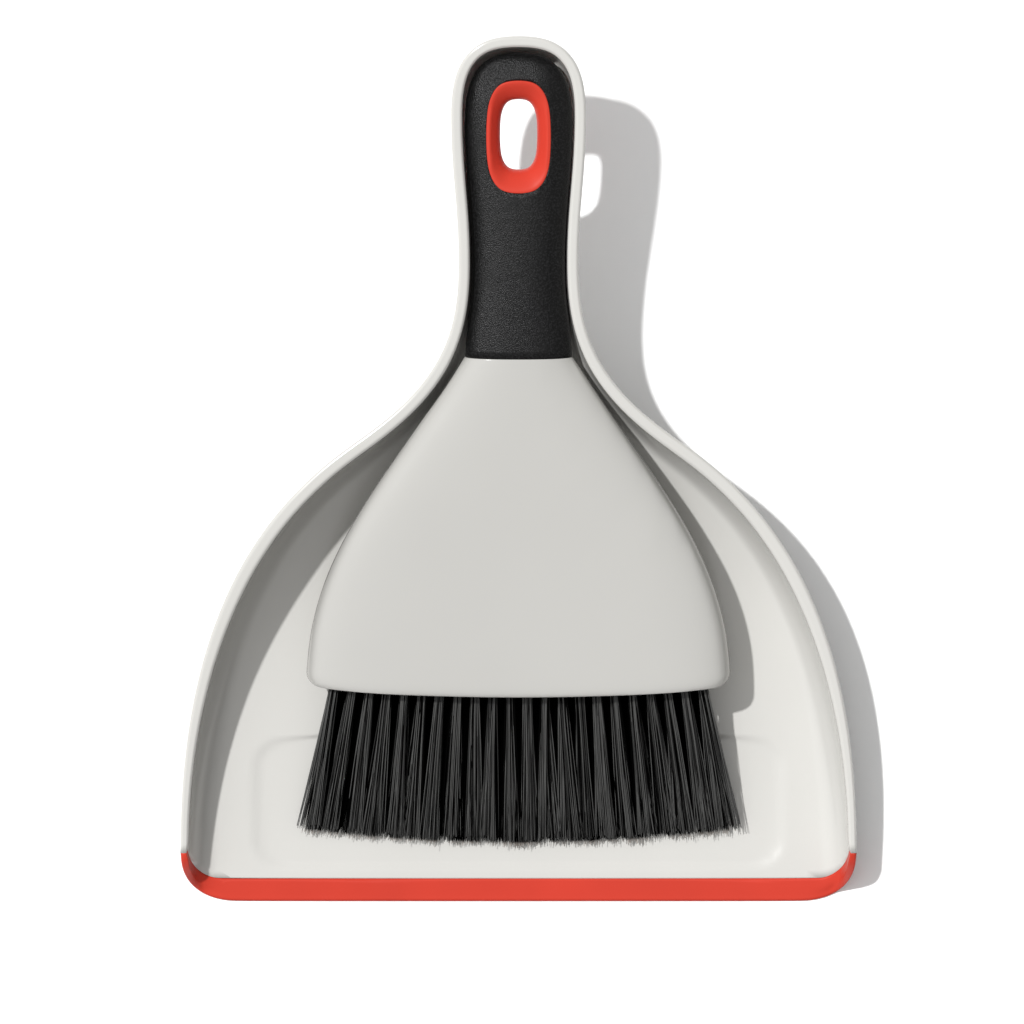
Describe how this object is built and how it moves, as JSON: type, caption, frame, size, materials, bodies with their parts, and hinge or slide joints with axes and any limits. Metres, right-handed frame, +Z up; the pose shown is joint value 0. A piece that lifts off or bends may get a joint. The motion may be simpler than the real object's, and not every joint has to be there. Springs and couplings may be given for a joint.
{
  "type": "dust pan and brush set",
  "caption": "Light grey dust pan with a red rubber lip, and a hand brush with a black soft grip nested in its handle channel.",
  "frame": {"origin": "centre of the footprint, on the surface the pan stands on", "axes": "+X across the pan, +Y from the mouth towards the handles, +Z up"},
  "size_m": [0.2582, 0.33, 0.0676],
  "materials": {
    "pan_plastic": "glossy light grey moulded plastic",
    "cover_plastic": "glossy light grey moulded plastic",
    "core_plastic": "plain dark grey moulded plastic",
    "block_plastic": "plain black moulded plastic",
    "lip_rubber": "satin red-orange rubber",
    "ring_rubber": "satin red-orange rubber",
    "grip_rubber": "black soft-touch rubber with a fine grain",
    "filament": "black synthetic filaments"
  },
  "bodies": {
    "pan": {"pan_shell": "pan_plastic", "pan_lip": "lip_rubber"},
    "brush": {"brush_front_cover": "cover_plastic", "brush_back_cover": "cover_plastic", "handle_core": "core_plastic", "handle_grip": "grip_rubber", "hang_ring": "ring_rubber", "bristle_block": "block_plastic", "bristle_tuft_01": "filament", "bristle_tuft_02": "filament", "bristle_tuft_03": "filament", "bristle_tuft_04": "filament", "bristle_tuft_05": "filament", "bristle_tuft_06": "filament", "bristle_tuft_07": "filament", "bristle_tuft_08": "filament", "bristle_tuft_09": "filament", "bristle_tuft_10": "filament", "bristle_tuft_11": "filament", "bristle_tuft_12": "filament", "bristle_tuft_13": "filament", "bristle_tuft_14": "filament", "bristle_tuft_15": "filament", "bristle_tuft_16": "filament", "bristle_tuft_17": "filament", "bristle_tuft_18": "filament", "bristle_tuft_19": "filament", "bristle_tuft_20": "filament", "bristle_tuft_21": "filament", "bristle_tuft_22": "filament"}
  },
  "joints": [
    {"name": "brush_lift", "type": "slide", "parent": "pan", "child": "brush", "axis": [0, -0.1461, 0.9893], "range_m": [0, 0.12]}
  ]
}
